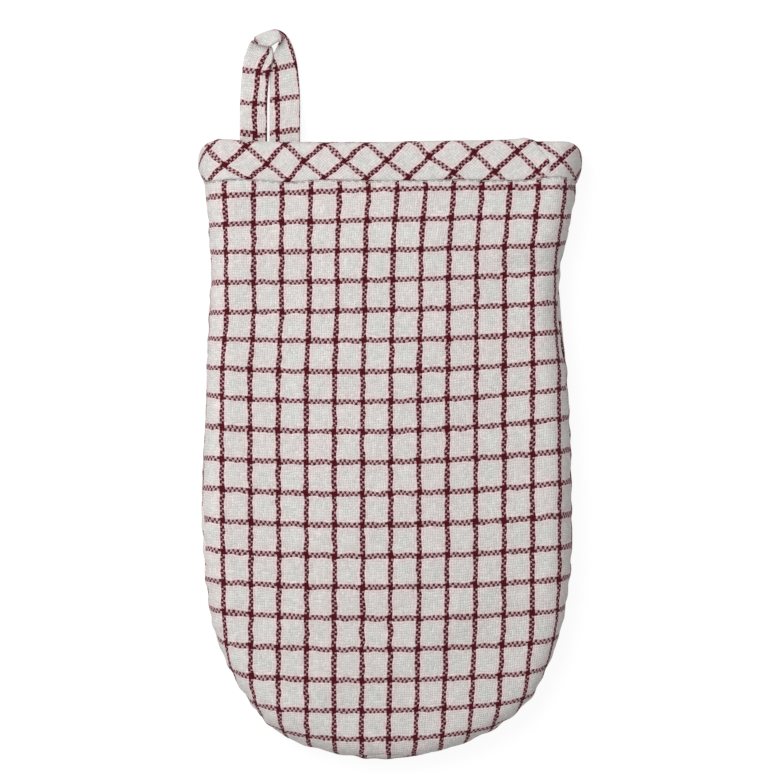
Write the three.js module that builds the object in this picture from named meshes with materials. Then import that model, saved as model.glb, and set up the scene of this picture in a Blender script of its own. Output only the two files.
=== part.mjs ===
// Grill mitt of checked cotton, without a thumb. Two padded panels are sewn together round a tongue-shaped
// outline, a bias binding is folded over the mouth edge, and a hanging loop of folded tape is sewn inside the
// mouth. Millimetres, +Z up. The mitt lies on its back with its face up and its mouth towards +Y. The origin
// is on the flat of the back, below the middle of the face.
import * as THREE from 'three';

// Driving dimensions of the padded pocket
const PANEL = 4.0; // thickness of a panel: outer cloth, padding and inner cloth as one
const FACE_HEIGHT = 22.0; // height of the face where it starts to turn down to the side
const CROWN = 1.8; // how much higher the middle of the face stands
const SIDE_LEVEL = 9.5; // height at which the mitt is widest
const TURN = 10.0; // how far in from the outline the face and the back turn over
const SEAM_GAP = 0.3; // clearance between the two panels at the seam, and between any two pieces
const FAN_CENTRE = { x: -1.5, y: -84.0 }; // spot round which the rounded end fans out
const FAN_EASE = 14.0; // length over which straight rows become a fan
const LEVEL_BLEND = { from: 45, to: 80 }; // between these heights the rows turn level for the mouth
const CROWN_LENGTH = 160.0; // the crown sinks away towards the mouth and the end over this length

// Driving dimensions of the mouth and its binding
const MOUTH = 99.4; // top edge of the binding
const MOUTH_DROP = 6.8; // how much lower the mouth edge runs over the side seams
const CORNER = 1.5; // how square the mouth's corners are: 1 is a slope all round the turned edge
const FLAP = 83.6; // lower edge of the binding on the outside
const FLAP_DROP = 0.3; // how much lower that edge runs over the side seams
const BINDING = 1.2; // thickness of the binding: bias cloth with its edge turned in
const BINDING_INSIDE = 1.0; // thickness of its flap inside the mouth
const BINDING_GAP = 0.45; // clearance between the binding and the panels
const FOLD_ROUNDING = 1.9; // how far the binding's fold over the mouth edge is rounded
const PROUD = 0.5; // how far the front flap stands above the face
const STEP_LENGTH = 2.6; // length over which a panel steps down to pass under the binding
const STEP_LEAD = 0.8; // how far before the binding the step ends
const DROP_FADE = 10.0; // length below the flap over which the dip over the side seams fades out

// Driving dimensions of the hanging loop
const TAPE = 2.0; // thickness of the folded tape
const TAPE_ROUNDING = 0.7; // how far its edges are rounded

// Outline of the mitt: half widths to the left and right of x = 0, from the mouth to the rounded end. The
// mouth rows are the outside of the binding. The two sides meet at the end point.
const OUTLINE = [
  { y: 99.4, left: 76.5, right: 76.6 },
  { y: 92.0, left: 76.3, right: 76.4 },
  { y: 84.0, left: 74.5, right: 74.9 },
  { y: 75.0, left: 73.5, right: 73.5 },
  { y: 62.0, left: 72.3, right: 71.0 },
  { y: 46.0, left: 71.5, right: 67.7 },
  { y: 28.0, left: 72.5, right: 68.5 },
  { y: 6.0, left: 73.2, right: 71.0 },
  { y: -16.0, left: 74.0, right: 72.2 },
  { y: -42.0, left: 75.3, right: 72.6 },
  { y: -64.0, left: 74.6, right: 72.7 },
  { y: -82.0, left: 72.5, right: 70.6 },
  { y: -97.0, left: 69.5, right: 67.3 },
  { y: -111.0, left: 64.0, right: 62.1 },
  { y: -124.0, left: 56.2, right: 55.0 },
  { y: -134.5, left: 46.6, right: 43.6 },
  { y: -141.5, left: 35.6, right: 30.0 },
  { y: -145.6, left: 20.6, right: 14.6 },
];
const END = { x: -2.0, y: -147.6 };
const LAST = OUTLINE.length;

// Where the side seam runs over the turned edge: degrees above the widest level, from the mouth to the
// rounded end. It climbs on to the face at the waist on the right and at the very end.
const SEAM = { waist: 12, waistRow: 6.2, waistSpread: 1.6, end: 36, endSpread: 0.75 };

// Soft hollows and swellings of the face, each with its place, its reach along x and y, and its depth.
const HOLLOWS = [
  { x: 60, y: 49, reachX: 15, reachY: 5, depth: 1.9 },
  { x: -52, y: 30, reachX: 20, reachY: 26, depth: 0.8 },
  { x: 18, y: 74, reachX: 46, reachY: 9, depth: 0.9 },
  { x: -14, y: -52, reachX: 34, reachY: 30, depth: -0.7 },
  { x: 36, y: -104, reachX: 22, reachY: 18, depth: 0.7 },
  { x: 28, y: 6, reachX: 26, reachY: 22, depth: -0.5 },
];

// The legs of the hanging loop: how they lie from their sewn ends inside the mouth, over its edge and down to
// the surface, and where their two edges run. Inner and outer are the edges of one tape: it turns over at the
// top, so the inner edge, beside the other leg on the right, runs along the outside on the left.
const LEG = [
  { y: 86.0, z: 6.9 },
  { y: 93.0, z: 6.9 },
  { y: 100.5, z: 6.8 },
  { y: 107.5, z: 4.9 },
  { y: 114.0, z: 2.8 },
];
const LEG_RIGHT = { inner: -48.2, outer: -36.0 };
const LEG_LEFT = { inner: -60.1, outer: -49.2 };

// The top of the loop, from the right leg over to the left one, by the places of the tape's two edges. The
// tape stands up on its outer edge, crosses over the top of the left leg and turns under.
const LOOP_TOP = [
  { innerX: -47.6, innerY: 121.0, innerZ: 2.6, outerX: -36.0, outerY: 121.0, outerZ: 1.5 },
  { innerX: -46.8, innerY: 126.0, innerZ: 4.2, outerX: -36.0, outerY: 125.8, outerZ: 1.3 },
  { innerX: -46.3, innerY: 129.8, innerZ: 6.0, outerX: -36.6, outerY: 129.4, outerZ: 1.3 },
  { innerX: -46.1, innerY: 133.2, innerZ: 7.6, outerX: -37.4, outerY: 133.0, outerZ: 1.3 },
  { innerX: -45.6, innerY: 135.8, innerZ: 8.8, outerX: -38.4, outerY: 136.4, outerZ: 1.4 },
  { innerX: -44.8, innerY: 137.8, innerZ: 9.6, outerX: -39.6, outerY: 139.4, outerZ: 1.4 },
  { innerX: -44.5, innerY: 138.9, innerZ: 10.2, outerX: -41.0, outerY: 141.8, outerZ: 1.4 },
  { innerX: -45.2, innerY: 139.2, innerZ: 10.5, outerX: -43.4, outerY: 143.4, outerZ: 1.4 },
  { innerX: -46.8, innerY: 138.8, innerZ: 10.5, outerX: -46.0, outerY: 143.6, outerZ: 1.4 },
  { innerX: -49.2, innerY: 138.2, innerZ: 10.2, outerX: -48.4, outerY: 142.9, outerZ: 1.3 },
  { innerX: -51.8, innerY: 138.3, innerZ: 9.6, outerX: -50.2, outerY: 141.8, outerZ: 1.2 },
  { innerX: -54.2, innerY: 138.8, innerZ: 8.0, outerX: -50.6, outerY: 140.0, outerZ: 1.1 },
  { innerX: -55.6, innerY: 138.4, innerZ: 5.6, outerX: -49.4, outerY: 138.0, outerZ: 1.1 },
  { innerX: -56.8, innerY: 136.6, innerZ: 3.6, outerX: -48.0, outerY: 135.8, outerZ: 1.1 },
  { innerX: -58.2, innerY: 133.0, innerZ: 2.2, outerX: -47.4, outerY: 132.6, outerZ: 1.1 },
  { innerX: -59.1, innerY: 128.4, innerZ: 1.5, outerX: -47.7, outerY: 128.4, outerZ: 1.1 },
  { innerX: -59.7, innerY: 121.0, innerZ: 1.5, outerX: -48.8, outerY: 121.0, outerZ: 1.5 },
];

// How finely the solids are divided
const FLAT_STEPS = 5; // from the middle of a panel to where it turns down
const TURN_STEPS = 6; // from there to the seam
const ROWS_PER_OUTLINE_ROW = 2;
const LOOP_STEPS_PER_ROW = 2;

const PANEL_TOP = MOUTH - BINDING - 2 * BINDING_GAP; // mouth edge of the panels, inside the binding's fold
const INSIDE_FLAP_LOW = 0.15; // the inside flap's lower edge, as a share of the binding's depth
const RIGHT_ANGLE = Math.PI / 2;
const radians = THREE.MathUtils.degToRad;
const clamp = THREE.MathUtils.clamp;
const mix = THREE.MathUtils.lerp;
const ease = THREE.MathUtils.smoothstep;

// A smooth value through a list at place t, with straight continuation past both ends unless `after` is
// given.
function through(list, t, after) {
  const i = clamp(Math.floor(t), 0, list.length - 2);
  const f = t - i;
  const b = list[i];
  const c = list[i + 1];
  const a = i > 0 ? list[i - 1] : 2 * b - c;
  const d = i + 2 < list.length ? list[i + 2] : after ?? 2 * c - b;
  const slopeB = (c - a) / 2;
  const slopeC = (d - b) / 2;
  const f2 = f * f;
  const f3 = f2 * f;
  const fromB = (2 * f3 - 3 * f2 + 1) * b + (f3 - 2 * f2 + f) * slopeB;
  return fromB + (3 * f2 - 2 * f3) * c + (f3 - f2) * slopeC;
}

// Outline point at row t of the table on one side (-1 left, +1 right). The curve runs on smoothly round the
// end.
function outlinePoint(side, t) {
  const half = side < 0 ? 'left' : 'right';
  const other = side < 0 ? 'right' : 'left';
  const xs = [...OUTLINE.map((row) => side * row[half]), END.x];
  const ys = [...OUTLINE.map((row) => row.y), END.y];
  const opposite = OUTLINE[LAST - 1];
  return new THREE.Vector2(through(xs, t, -side * opposite[other]), through(ys, t, opposite.y));
}

// Unit direction into the mitt, square to the outline. Near the mouth it is level, so that the rows are
// straight.
function inwardAt(side, t) {
  const step = 0.01;
  const before = outlinePoint(side, Math.min(t, LAST) - step);
  const here = outlinePoint(side, Math.min(t, LAST));
  const along = here.clone().sub(before).normalize();
  const square = t >= LAST ? new THREE.Vector2(0, 1) : new THREE.Vector2(along.y * side, -along.x * side);
  const level = new THREE.Vector2(-side, 0);
  const follow = 1 - ease(here.y, LEVEL_BLEND.from, LEVEL_BLEND.to);
  return level.lerp(square, follow).normalize();
}

// Row of the outline table at which the outline is at height y, above the rounded end.
function rowAtHeight(y) {
  let low = -1;
  let high = LAST - 1;
  for (let i = 0; i < 40; i += 1) {
    const middle = (low + high) / 2;
    if (outlinePoint(1, middle).y > y) low = middle;
    else high = middle;
  }
  return (low + high) / 2;
}

// Middle line of the mitt beside outline row t: level with it along the sides, and gathered at the fan's
// centre for the rounded end.
function middlePoint(t) {
  const left = outlinePoint(-1, t);
  const right = outlinePoint(1, t);
  const above = left.y - FAN_CENTRE.y;
  const y = FAN_CENTRE.y + FAN_EASE * Math.log1p(Math.exp(-Math.abs(above) / FAN_EASE)) + Math.max(above, 0);
  return new THREE.Vector2(mix(FAN_CENTRE.x, (left.x + right.x) / 2, ease(above, 0, 4 * FAN_EASE)), y);
}

const crownAt = (y) => CROWN * (1 - (y / CROWN_LENGTH) ** 2);

function hollowAt(x, y) {
  let depth = 0;
  for (const dip of HOLLOWS) {
    const far = ((x - dip.x) / dip.reachX) ** 2 + ((y - dip.y) / dip.reachY) ** 2;
    depth += dip.depth * Math.exp(-far);
  }
  return depth;
}

// Angle of the seam on the turned edge at outline row t.
function seamTurn(side, t) {
  const waist = side > 0 ? SEAM.waist * Math.exp(-(((t - SEAM.waistRow) / SEAM.waistSpread) ** 2)) : 0;
  const end = SEAM.end * Math.exp(-(((t - LAST) / SEAM.endSpread) ** 2));
  return radians(waist + end);
}

// How much lower than on the face and the back a row runs over the side seams, for a row at height y.
const dropAt = (y) => {
  if (y > FLAP) return mix(FLAP_DROP, MOUTH_DROP, (y - FLAP) / (MOUTH - FLAP));
  return FLAP_DROP * clamp(1 - (FLAP - y) / DROP_FADE, 0, 1);
};

// How far round the side a point of the turned edge lies: 0 on the face and the back, 1 at the widest level.
const roundSide = (turn) => (1 - Math.abs(Math.sin(turn))) ** CORNER;

// A point of the turned edge. turn is the angle above the widest level, from -90 degrees on the back to 90 on
// the face, and depth is how far under the outer surface the point lies.
function edgePoint(side, t, turn, depth) {
  const edge = outlinePoint(side, t);
  const inward = inwardAt(side, t);
  const reach = TURN - (TURN - depth) * Math.cos(turn);
  const spot = edge.clone().addScaledVector(inward, reach);
  const rise = turn > 0 ? FACE_HEIGHT - SIDE_LEVEL - depth : SIDE_LEVEL - depth;
  const face = Math.max(Math.sin(turn), 0);
  const z = SIDE_LEVEL + rise * Math.sin(turn) - face * face * hollowAt(spot.x, spot.y);
  return new THREE.Vector3(spot.x, spot.y - dropAt(edge.y) * roundSide(turn), z);
}

// A point of the flat between the turned edge (out = 1) and the middle line (out = 0), on the face or the
// back.
function flatPoint(side, t, out, onFace, depth) {
  const turned = outlinePoint(side, t).addScaledVector(inwardAt(side, t), TURN);
  const spot = middlePoint(t).lerp(turned, out);
  const crown = crownAt(spot.y) * (1 - out * out) ** 2;
  const z = onFace ? FACE_HEIGHT + crown - hollowAt(spot.x, spot.y) - depth : depth;
  return new THREE.Vector3(spot.x, spot.y, z);
}

// A closed skin of triangles in which points at the same place are one point.
class Skin {
  constructor() {
    this.positions = [];
    this.faces = [];
    this.known = new Map();
  }

  point(p) {
    const key = [p.x, p.y, p.z].map((v) => Math.round(v * 1e4)).join();
    if (!this.known.has(key)) {
      this.known.set(key, this.positions.length / 3);
      this.positions.push(p.x, p.y, p.z);
    }
    return this.known.get(key);
  }

  triangle(a, b, c) {
    const [i, j, k] = [a, b, c].map((p) => this.point(p));
    if (i !== j && j !== k && k !== i) this.faces.push(i, j, k);
  }

  quad(a, b, c, d) {
    this.triangle(a, b, c);
    this.triangle(a, c, d);
  }

  // A strip between two lists of points, facing out when `a` runs to the right and `b` lies below it. Each of
  // its squares is split from a to b, or from b to a.
  strip(a, b, splitFromB = false) {
    for (let i = 0; i + 1 < a.length; i += 1) {
      const square = [a[i], b[i], b[i + 1], a[i + 1]];
      if (splitFromB) square.push(square.shift());
      this.quad(...square);
    }
  }

  geometry() {
    const geometry = new THREE.BufferGeometry();
    geometry.setAttribute('position', new THREE.Float32BufferAttribute(this.positions, 3));
    geometry.setIndex(this.faces);
    geometry.computeVertexNormals();
    return geometry;
  }
}

// One row of a panel at depth under its outer surface, from the left seam across the flat to the right seam.
function panelRow(t, onFace, depth) {
  const sign = onFace ? 1 : -1;
  const half = (side) => {
    const seam = seamTurn(side, t) + (sign * SEAM_GAP) / (2 * (TURN - PANEL));
    const points = [];
    for (let i = 0; i < TURN_STEPS; i += 1)
      points.push(edgePoint(side, t, mix(seam, sign * RIGHT_ANGLE, i / TURN_STEPS), depth));
    for (let i = 0; i <= FLAT_STEPS; i += 1)
      points.push(flatPoint(side, t, 1 - i / FLAT_STEPS, onFace, depth));
    return points;
  };
  const left = half(-1);
  const right = t >= LAST ? left : half(1);
  return [...left, ...right.slice(0, -1).reverse()];
}

// Depth of a panel's outer surface at outline row t: pressed down where the binding covers it.
function coveredDepth(t) {
  const y = outlinePoint(1, t).y;
  return (BINDING + BINDING_GAP) * ease(y, FLAP - STEP_LEAD - STEP_LENGTH, FLAP - STEP_LEAD);
}

// Outline rows at which the panels are cut into sections: close together under the binding's edge, then even.
function panelStations() {
  const stepTop = FLAP - STEP_LEAD;
  const stepLow = stepTop - STEP_LENGTH;
  const heights = [PANEL_TOP, (PANEL_TOP + stepTop) / 2, stepTop, (stepTop + stepLow) / 2, stepLow];
  const stations = heights.map(rowAtHeight);
  for (let t = 3; t <= LAST; t += 1 / ROWS_PER_OUTLINE_ROW) stations.push(t);
  return stations;
}

// A padded panel: its outer and inner surfaces, closed along the seam and at the mouth.
function panel(onFace) {
  const stations = panelStations();
  const outer = stations.map((t) => panelRow(t, onFace, coveredDepth(t)));
  const inner = stations.map((t) => panelRow(t, onFace, PANEL));
  const [top, bottom] = onFace ? [outer, inner] : [inner, outer];
  const skin = new Skin();
  const column = (grid, c) => grid.map((row) => row.at(c));
  for (let r = 0; r + 1 < stations.length; r += 1) {
    skin.strip(top[r], top[r + 1]);
    skin.strip(bottom[r + 1], bottom[r]);
  }
  skin.strip(bottom[0], top[0]);
  skin.strip(column(top, 0), column(bottom, 0), !onFace);
  skin.strip(column(bottom, -1), column(top, -1), onFace);
  return skin.geometry();
}

// Section of the binding: height from the flap's lower edge (0) to the fold over the mouth edge (1), and
// depth under the mitt's outer surface. It runs up the outside, over the fold, down the inside flap and back
// under it.
function bindingSection(proud) {
  const width = MOUTH - FLAP;
  const insideFlap = PANEL + BINDING_GAP;
  const inside = insideFlap + BINDING_INSIDE;
  const foldUnder = 1 - BINDING / width;
  return [
    { up: 0, depth: 0.35 - proud },
    { up: 0.05, depth: -proud },
    { up: 0.5, depth: -proud },
    { up: 0.88, depth: -proud },
    { up: 0.97, depth: FOLD_ROUNDING / 3 - proud / 2 },
    { up: 1, depth: FOLD_ROUNDING },
    { up: 1, depth: inside - FOLD_ROUNDING },
    { up: 0.97, depth: inside - FOLD_ROUNDING / 3 },
    { up: 0.88, depth: inside },
    { up: INSIDE_FLAP_LOW, depth: inside },
    { up: INSIDE_FLAP_LOW, depth: insideFlap },
    { up: foldUnder, depth: insideFlap },
    { up: foldUnder, depth: BINDING },
    { up: 0.5, depth: BINDING },
    { up: 0, depth: BINDING },
  ];
}

// The binding is a closed ring: left across the face, round the left side, across the back, round the right
// side.
function binding() {
  const rings = [];
  const ring = (proud, place) => {
    rings.push(bindingSection(proud).map(({ up, depth }) => place(rowAtHeight(mix(FLAP, MOUTH, up)), depth)));
  };
  const flat = (side, out, onFace) => {
    ring(onFace ? PROUD : 0, (t, depth) => flatPoint(side, t, out, onFace, depth));
  };
  const turned = (side, turn) => {
    const proud = PROUD * Math.max(Math.sin(turn), 0);
    ring(proud, (t, depth) => edgePoint(side, t, turn, depth));
  };
  const round = 2 * TURN_STEPS;
  for (let i = 0; i < FLAT_STEPS; i += 1) flat(-1, i / FLAT_STEPS, true);
  for (let i = 0; i < round; i += 1) turned(-1, mix(RIGHT_ANGLE, -RIGHT_ANGLE, i / round));
  for (let i = 0; i < FLAT_STEPS; i += 1) flat(-1, 1 - i / FLAT_STEPS, false);
  for (let i = 0; i < FLAT_STEPS; i += 1) flat(1, i / FLAT_STEPS, false);
  for (let i = 0; i < round; i += 1) turned(1, mix(-RIGHT_ANGLE, RIGHT_ANGLE, i / round));
  for (let i = 0; i < FLAT_STEPS; i += 1) flat(1, 1 - i / FLAT_STEPS, true);
  const skin = new Skin();
  rings.forEach((section, i) => {
    const next = rings[(i + 1) % rings.length];
    skin.strip([...next, next[0]], [...section, section[0]]);
  });
  return skin.geometry();
}

// The folded tape of the loop: a flat section with rounded edges, carried along the places of its two edges.
function hangingLoop() {
  const leg = ({ inner, outer }) =>
    LEG.map(({ y, z }) => ({ innerX: inner, innerY: y, innerZ: z, outerX: outer, outerY: y, outerZ: z }));
  const rows = [...leg(LEG_RIGHT), ...LOOP_TOP, ...leg(LEG_LEFT).reverse()];
  const placeAt = (column, t) => through(rows.map((row) => row[column]), t);
  const edgeAt = (edge, t) => new THREE.Vector3(...['X', 'Y', 'Z'].map((axis) => placeAt(edge + axis, t)));
  const centreAt = (t) => edgeAt('inner', t).add(edgeAt('outer', t)).multiplyScalar(0.5);
  const LOOK = 0.05; // part of a row, over which the tape's direction is taken
  const sections = [];
  for (let i = 0; i <= (rows.length - 1) * LOOP_STEPS_PER_ROW; i += 1) {
    const t = i / LOOP_STEPS_PER_ROW;
    const centre = centreAt(t);
    const outward = edgeAt('outer', t).sub(centre);
    const half = outward.length();
    outward.normalize();
    const along = centreAt(t + LOOK).sub(centreAt(t - LOOK)).normalize();
    const up = outward.clone().cross(along).normalize();
    const corners = [
      [half - TAPE_ROUNDING, TAPE / 2],
      [half, TAPE / 4],
      [half, -TAPE / 4],
      [half - TAPE_ROUNDING, -TAPE / 2],
      [TAPE_ROUNDING - half, -TAPE / 2],
      [-half, -TAPE / 4],
      [-half, TAPE / 4],
      [TAPE_ROUNDING - half, TAPE / 2],
    ];
    const place = ([w, h]) => centre.clone().addScaledVector(outward, w).addScaledVector(up, h);
    sections.push(corners.map(place));
  }
  const skin = new Skin();
  const closed = (section) => [...section, section[0]];
  for (let i = 0; i + 1 < sections.length; i += 1) skin.strip(closed(sections[i + 1]), closed(sections[i]));
  const [first, last] = [sections[0], sections.at(-1)];
  for (let i = 1; i + 1 < first.length; i += 1) {
    skin.triangle(first[0], first[i + 1], first[i]);
    skin.triangle(last[0], last[i], last[i + 1]);
  }
  return skin.geometry();
}

const checkedCotton = new THREE.MeshStandardMaterial({ color: 0xdedbd6, roughness: 0.9, metalness: 0 });
const backCotton = new THREE.MeshStandardMaterial({ color: 0xd9d5d0, roughness: 0.9, metalness: 0 });
const biasCotton = new THREE.MeshStandardMaterial({ color: 0xcfc3c0, roughness: 0.9, metalness: 0 });
const tapeCotton = new THREE.MeshStandardMaterial({ color: 0xc9b9b8, roughness: 0.9, metalness: 0 });

const mitt = new THREE.Group();

function addPiece(name, geometry, material) {
  const mesh = new THREE.Mesh(geometry, material);
  mesh.name = name;
  mitt.add(mesh);
}

addPiece('front_panel', panel(true), checkedCotton);
addPiece('back_panel', panel(false), backCotton);
addPiece('binding', binding(), biasCotton);
addPiece('hanging_loop', hangingLoop(), tapeCotton);

export default mitt;
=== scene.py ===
# %% [markdown]
# # A grill mitt of checked cotton, lying on its back
#
# The real thing is two padded panels sewn together round a tongue-shaped outline. A strip cut on the bias
# binds the mouth, and a folded tape is sewn inside the mouth as a hanging loop. Everything is one cloth:
# an off-white plain weave with a dark red windowpane check, about one yarn to the millimetre.
#
# The cells follow a maker's order: the pattern's outline first, then the cloth and its check, then each
# piece. The shapes are worked out from a few dimensions, with numpy for the many points of a cloth
# surface. A frame of plain solids is loaded first. Each piece made here takes the place of one of them.

# %% Load the frame that carries the pieces
import math

import bmesh
import bpy
import numpy as np
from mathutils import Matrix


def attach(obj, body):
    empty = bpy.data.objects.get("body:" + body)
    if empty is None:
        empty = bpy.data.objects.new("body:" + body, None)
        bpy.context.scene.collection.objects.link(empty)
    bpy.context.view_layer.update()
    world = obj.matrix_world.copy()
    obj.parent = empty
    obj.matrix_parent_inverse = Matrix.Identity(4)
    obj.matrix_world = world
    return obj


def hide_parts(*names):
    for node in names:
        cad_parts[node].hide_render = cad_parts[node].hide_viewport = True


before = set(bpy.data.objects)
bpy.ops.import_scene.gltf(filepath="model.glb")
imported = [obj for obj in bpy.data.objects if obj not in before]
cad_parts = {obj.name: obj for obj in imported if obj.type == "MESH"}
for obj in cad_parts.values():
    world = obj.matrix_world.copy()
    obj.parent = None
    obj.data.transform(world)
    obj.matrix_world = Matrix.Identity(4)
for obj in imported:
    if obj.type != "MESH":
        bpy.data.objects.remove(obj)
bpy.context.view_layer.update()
MM = 0.001  # lengths below are in millimetres, as on a sewing pattern; Blender counts in metres
print("frame nodes:", sorted(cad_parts))

# %% [markdown]
# ## The camera
#
# The picture looks straight down on the mitt from far away, so its sides don't show. A wide lens close by
# would bend the outline. A long lens high above keeps it true, and one width of the picture at the height
# of the mitt's sides fixes the lens.

# %% Camera straight above
PICTURE_WIDTH = 312.0
CAMERA_HEIGHT = 4000.0
SIDE_LEVEL = 9.5  # height at which the mitt is widest

camera_data = bpy.data.cameras.new("camera")
camera_data.lens = camera_data.sensor_width * (CAMERA_HEIGHT - SIDE_LEVEL) / PICTURE_WIDTH
camera_data.clip_end = 20.0
camera = bpy.data.objects.new("camera", camera_data)
camera.location = (0.0, 0.0, CAMERA_HEIGHT * MM)
bpy.context.collection.objects.link(camera)
bpy.context.scene.camera = camera
print(f"lens {camera_data.lens:.0f} mm")

# %% [markdown]
# ## The pattern's outline
#
# A maker draws half widths on a centre line and joins them with a smooth curve. The same is done here: a
# short table of half widths, and a curve that passes through all of them. A drawn Bezier outline would
# need handles to be set by eye. The curve here needs none, and it takes many places at once.

# %% Driving dimensions
PANEL = 4.0  # thickness of a panel: outer cloth, padding and inner cloth
FACE_HEIGHT = 22.0  # height of the face where it starts to turn down to the side
CROWN = 1.8  # how much higher the middle of the face stands
CROWN_LENGTH = 160.0  # the crown sinks away towards the mouth and the end over this length
TURN = 10.0  # how far in from the outline the face and the back turn over
SEAM_SHORT = 0.005  # share of the turn by which each panel stops short of the other
FAN_CENTRE = (-1.5, -84.0)  # spot round which the rounded end fans out
FAN_EASE = 14.0  # how softly the middle line comes to a stop there
LEVEL_BLEND = (45.0, 80.0)  # between these heights the rows turn level for the mouth

MOUTH = 99.4  # top edge of the binding
MOUTH_DROP = 6.8  # how much lower it runs over the side seams
CORNER = 2.0  # how square the mouth's corners are
FLAP = 83.6  # lower edge of the binding on the outside
FLAP_DROP = 0.3  # how much lower that runs over the side seams
DROP_FADE = 10.0  # the rows below it are level again this far down
BINDING = 1.2  # how deep the strip lies in the face, which is pressed down under it
BINDING_INSIDE = 1.0  # its thickness inside the mouth
BINDING_GAP = 0.45  # between the strip and the panels
PROUD = 0.5  # how far the front flap stands above the face
PROUD_ELSEWHERE = 0.35  # share of that at the sides and on the back
PANEL_TOP = MOUTH - BINDING - 2 * BINDING_GAP
print(f"the mitt is {FACE_HEIGHT + CROWN:.1f} mm high, and {MOUTH - FLAP:.1f} mm of the binding shows")

# %% Outline
OUTLINE = (  # height, half width left, half width right
    (99.4, 76.5, 76.6),
    (92, 76.3, 76.4),
    (84, 74.5, 74.9),
    (75, 73.5, 73.5),
    (62, 72.3, 71),
    (46, 71.5, 67.7),
    (28, 72.5, 68.5),
    (6, 73.2, 71),
    (-16, 74, 72.2),
    (-42, 75.3, 72.6),
    (-64, 74.6, 72.7),
    (-82, 73, 71),
    (-97, 70, 68),
    (-111, 64.3, 62.8),
    (-124, 56.5, 55.5),
    (-134.5, 47.7, 43),
    (-141.5, 35.9, 28.8),
    (-145.6, 19.4, 14.1),
)
END = (-2.0, -147.6)
LAST = len(OUTLINE)  # row number of the end point


def through(values, t, after=None):
    """Smooth value through a list at places t. It runs on straight past the ends unless `after` is given."""
    values = np.asarray(values, float)
    before = 2 * values[0] - values[1]
    after = 2 * values[-1] - values[-2] if after is None else after
    padded = np.concatenate([[before], values, [after]])
    i = np.clip(np.floor(t).astype(int), 0, len(values) - 2)
    f = t - i
    a, b, c, d = (padded[i + k] for k in range(4))
    from_b = (2 * f**3 - 3 * f**2 + 1) * b + (f**3 - 2 * f**2 + f) * (c - a) / 2
    return from_b + (3 * f**2 - 2 * f**3) * c + (f**3 - f**2) * (d - b) / 2


def unit(vectors):
    return vectors / np.linalg.norm(vectors, axis=-1, keepdims=True)


def length_along(points):
    """Length from the first point of a line to each of its points."""
    return np.concatenate([[0], np.cumsum(np.linalg.norm(np.diff(points, axis=0), axis=-1))])


def ease(value, low, high):
    """0 below low, 1 above high, and a smooth step between them."""
    f = np.clip((value - low) / (high - low), 0, 1)
    return f * f * (3 - 2 * f)


def outline(side, t):
    """Outline points at rows t on one side: -1 left, 1 right."""
    heights, left, right = zip(*OUTLINE)
    half, other = (left, right) if side < 0 else (right, left)
    xs = [side * width for width in half] + [END[0]]
    ys = [*heights, END[1]]
    return np.stack([through(xs, t, -side * other[-1]), through(ys, t, heights[-1])], -1)


print("rows in the outline:", LAST)

# %% [markdown] ## The skin of the mitt  A stuffed shape could be inflated by Blender's cloth simulation,
# but its edge would not keep to the outline. Here the skin is a formula. Place n runs round the mitt: 0
# in the middle of the face, 1 where the face starts to turn down, 2 at the widest level, 3 where the
# back starts and 4 in the middle of the back. It is negative on the left. Row t runs from the mouth to
# the rounded end.

# %% Hollows, side seam and turned edge
RIGHT_ANGLE = math.pi / 2
HOLLOWS = (  # place x, y, reach along x, y, and depth
    (60, 49, 15, 5, 1.9),
    (-52, 30, 20, 26, 0.8),
    (18, 74, 46, 9, 0.9),
    (-14, -52, 34, 30, -0.7),
    (36, -104, 22, 18, 0.7),
    (28, 6, 26, 22, -0.5),
    (4, -152, 62, 34, 4),
    (62, -114, 26, 40, 3.8),
    (-64, -112, 24, 42, 1.8),
)
SEAM_END = ((12.0, LAST, 2.2), (30.0, LAST + 0.2, 0.7))  # climb of the side seam: degrees, row, reach in rows
SEAM_LEFT = (*SEAM_END, (22.0, 2.7, 1.0), (20.0, 9.7, 0.9))
SEAM_RIGHT = (*SEAM_END, (24.0, 6.6, 2.0))

angles = np.linspace(-RIGHT_ANGLE, RIGHT_ANGLE, 721)
rises = np.where(angles > 0, FACE_HEIGHT - SIDE_LEVEL, SIDE_LEVEL)
speeds = np.hypot(TURN * np.sin(angles), rises * np.cos(angles))
turn_length = np.concatenate([[0], np.cumsum((speeds[1:] + speeds[:-1]) / 2 * np.diff(angles))])
BACK_TURN = float(np.interp(0, angles, turn_length))  # length of cloth from the back to the widest level
FACE_TURN = float(turn_length[-1]) - BACK_TURN  # and from there to the face
print(f"cloth over the turned edge: {FACE_TURN:.1f} mm above the widest level, {BACK_TURN:.1f} mm below it")

# %% Formula of the skin
def inward_at(side, t):
    """Unit direction into the mitt, square to the outline, but level near the mouth."""
    t = np.minimum(t, LAST)
    here = outline(side, t)
    along = unit(here - outline(side, t - 0.01))
    square = np.stack([along[..., 1] * side, -along[..., 0] * side], -1)
    square = np.where((t >= LAST)[..., None], [0.0, 1.0], square)
    level = ease(here[..., 1], *LEVEL_BLEND)[..., None]
    return unit(square * (1 - level) + np.array([-side, 0.0]) * level)


def middle_at(t):
    """Middle line beside rows t. The rows of the rounded end all start near one spot."""
    left, right = outline(-1, t), outline(1, t)
    above = left[..., 1] - FAN_CENTRE[1]
    y = FAN_CENTRE[1] + FAN_EASE * np.logaddexp(0, above / FAN_EASE)
    x = FAN_CENTRE[0] + ((left[..., 0] + right[..., 0]) / 2 - FAN_CENTRE[0]) * ease(above, 0, 4 * FAN_EASE)
    return np.stack([x, y], -1)


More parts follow.
